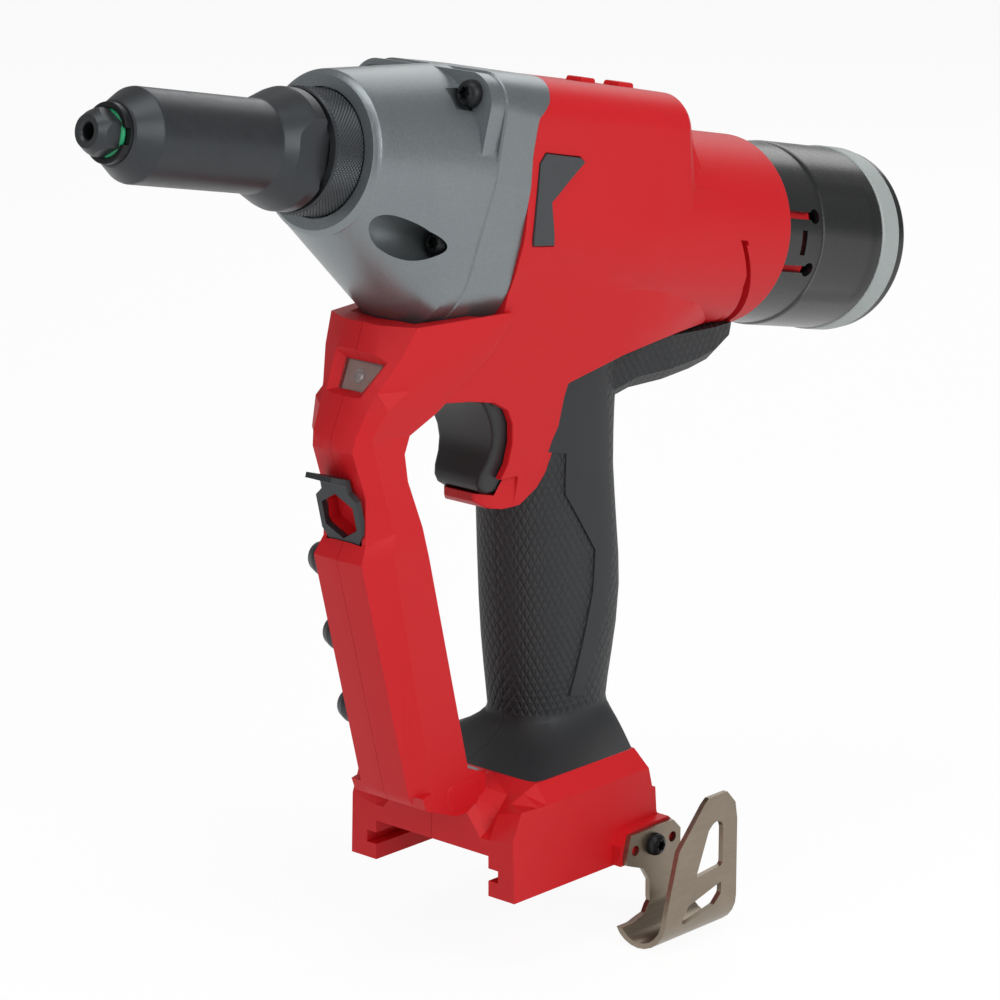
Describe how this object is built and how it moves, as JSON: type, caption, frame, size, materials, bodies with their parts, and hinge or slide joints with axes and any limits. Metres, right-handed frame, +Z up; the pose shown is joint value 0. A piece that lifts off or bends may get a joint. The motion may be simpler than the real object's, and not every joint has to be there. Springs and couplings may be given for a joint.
{
  "type": "battery rivet tool",
  "caption": "Pistol-shaped cordless puller for blind rivets: tilted barrel with a turned steel nose, cast gear housing, rubber grip, front strut, battery foot and rear mandrel bottle.",
  "frame": {"origin": "middle of the battery foot's underside, on the tool's mid-plane", "axes": "+X forward, the way the nose points and the battery leaves; +Y to the tool's left; +Z up"},
  "size_m": [0.3389, 0.0986, 0.2852],
  "materials": {
    "red_plastic": "satin moulded red plastic",
    "grip_rubber": "soft black overmould with a fine raised pattern",
    "pad_rubber": "dark grey rubber",
    "cast_grey": "satin grey paint on a light-alloy casting",
    "black_screw": "blackened steel",
    "black_steel": "black oxide on turned steel",
    "green_seal": "green rubber ring",
    "bright_steel": "ground steel",
    "gear_steel": "hardened steel",
    "cast_plate": "die-cast plate",
    "copper_wire": "enamelled copper wire",
    "black_plastic": "moulded black plastic",
    "clear_lens": "clear lens",
    "circuit_board": "green circuit board",
    "brass": "machined brass",
    "grey_panel": "grey film panel",
    "nickel_steel": "nickel-plated strip",
    "pale_plastic": "pale grey plastic"
  },
  "bodies": {
    "frame": {"left_shell": "red_plastic", "right_shell": "red_plastic", "left_grip": "grip_rubber", "right_grip": "grip_rubber", "left_side_pad": "pad_rubber", "right_side_pad": "pad_rubber", "gear_housing": "cast_grey", "housing_screws": "black_screw", "shell_screws": "black_screw", "belt_hook_screw": "black_screw", "knurled_collar": "black_steel", "nose_casing": "black_steel", "nosepiece": "black_steel", "nosepiece_retainer": "black_steel", "spare_nosepieces": "black_steel", "nosepiece_seal": "green_seal", "mandrel_tube": "bright_steel", "front_bearing": "bright_steel", "rear_bearing": "bright_steel", "pinion_bearing": "bright_steel", "motor_bearings": "bright_steel", "trigger_spring": "bright_steel", "ring_gear": "gear_steel", "motor_stator": "gear_steel", "bearing_plate": "cast_plate", "motor_windings": "copper_wire", "motor_end_plate": "black_plastic", "trigger_switch": "black_plastic", "control_module": "black_plastic", "terminal_block": "black_plastic", "led_lens": "clear_lens", "led_board": "circuit_board", "terminal_blades": "brass", "hook_inserts": "brass", "status_panel": "grey_panel", "belt_hook": "nickel_steel"},
    "drawbar": {"jaw_case": "black_steel", "jaws": "bright_steel", "jaw_pusher": "black_steel", "jaw_spring": "bright_steel", "ball_screw": "bright_steel"},
    "nut": {"ball_nut": "bright_steel", "nut_gear": "gear_steel"},
    "carrier": {"planet_carrier": "gear_steel"},
    "planet_1": {"planet_gear_1": "bright_steel"},
    "planet_2": {"planet_gear_2": "bright_steel"},
    "planet_3": {"planet_gear_3": "bright_steel"},
    "rotor": {"rotor_shaft": "bright_steel", "motor_rotor": "gear_steel", "motor_fan": "black_plastic"},
    "trigger": {"trigger": "black_plastic"},
    "collector": {"collector_bottle": "black_plastic", "collector_band": "pale_plastic", "collector_cap": "black_plastic"},
    "wrench": {"wrench": "black_steel"}
  },
  "joints": [
    {"name": "rotor_spin", "type": "hinge", "parent": "frame", "child": "rotor", "pos_m": [-0.00874, 0, 0.18933], "axis": [0.9806, 0, 0.1959], "range_deg": [0, 19440.5]},
    {"name": "carrier_turn", "type": "hinge", "parent": "frame", "child": "carrier", "pos_m": [0.03441, 0, 0.19795], "axis": [0.9806, 0, 0.1959], "range_deg": [0, 4320.5]},
    {"name": "nut_turn", "type": "hinge", "parent": "frame", "child": "nut", "pos_m": [0.035, 0, 0.2256], "axis": [0.9806, 0, 0.1959], "range_deg": [-1440.5, 0]},
    {"name": "pull_stroke", "type": "slide", "parent": "frame", "child": "drawbar", "axis": [-0.9806, 0, -0.1959], "range_m": [0, 0.024]},
    {"name": "planet_turn_1", "type": "hinge", "parent": "carrier", "child": "planet_1", "pos_m": [0.0268, 0, 0.20538], "axis": [0.9806, 0, 0.1959], "range_deg": [-12096.5, 0]},
    {"name": "planet_turn_2", "type": "hinge", "parent": "carrier", "child": "planet_2", "pos_m": [0.02938, -0.0076, 0.19247], "axis": [0.9806, 0, 0.1959], "range_deg": [-12096.5, 0]},
    {"name": "planet_turn_3", "type": "hinge", "parent": "carrier", "child": "planet_3", "pos_m": [0.02938, 0.0076, 0.19247], "axis": [0.9806, 0, 0.1959], "range_deg": [-12096.5, 0]},
    {"name": "trigger_pull", "type": "slide", "parent": "frame", "child": "trigger", "axis": [-1, 0, 0], "range_m": [0, 0.007], "stiffness_N_per_m": 600, "springref_m": -0.006, "deforming": ["trigger_spring"]},
    {"name": "collector_twist", "type": "hinge", "parent": "frame", "child": "collector", "pos_m": [-0.12918, 0, 0.17964], "axis": [0.9806, 0, 0.1959], "range_deg": [0, 30]},
    {"name": "wrench_lift", "type": "slide", "parent": "frame", "child": "wrench", "axis": [0.2317, 0, 0.9728], "range_m": [0, 0.008]}
  ],
  "couplings": [
    {"joint": "rotor_spin", "follows": "pull_stroke", "rad_per_m": 14137},
    {"joint": "carrier_turn", "follows": "pull_stroke", "rad_per_m": 3141.6},
    {"joint": "nut_turn", "follows": "pull_stroke", "rad_per_m": -1047.2},
    {"joint": "planet_turn_1", "follows": "pull_stroke", "rad_per_m": -8796.5},
    {"joint": "planet_turn_2", "follows": "pull_stroke", "rad_per_m": -8796.5},
    {"joint": "planet_turn_3", "follows": "pull_stroke", "rad_per_m": -8796.5}
  ]
}
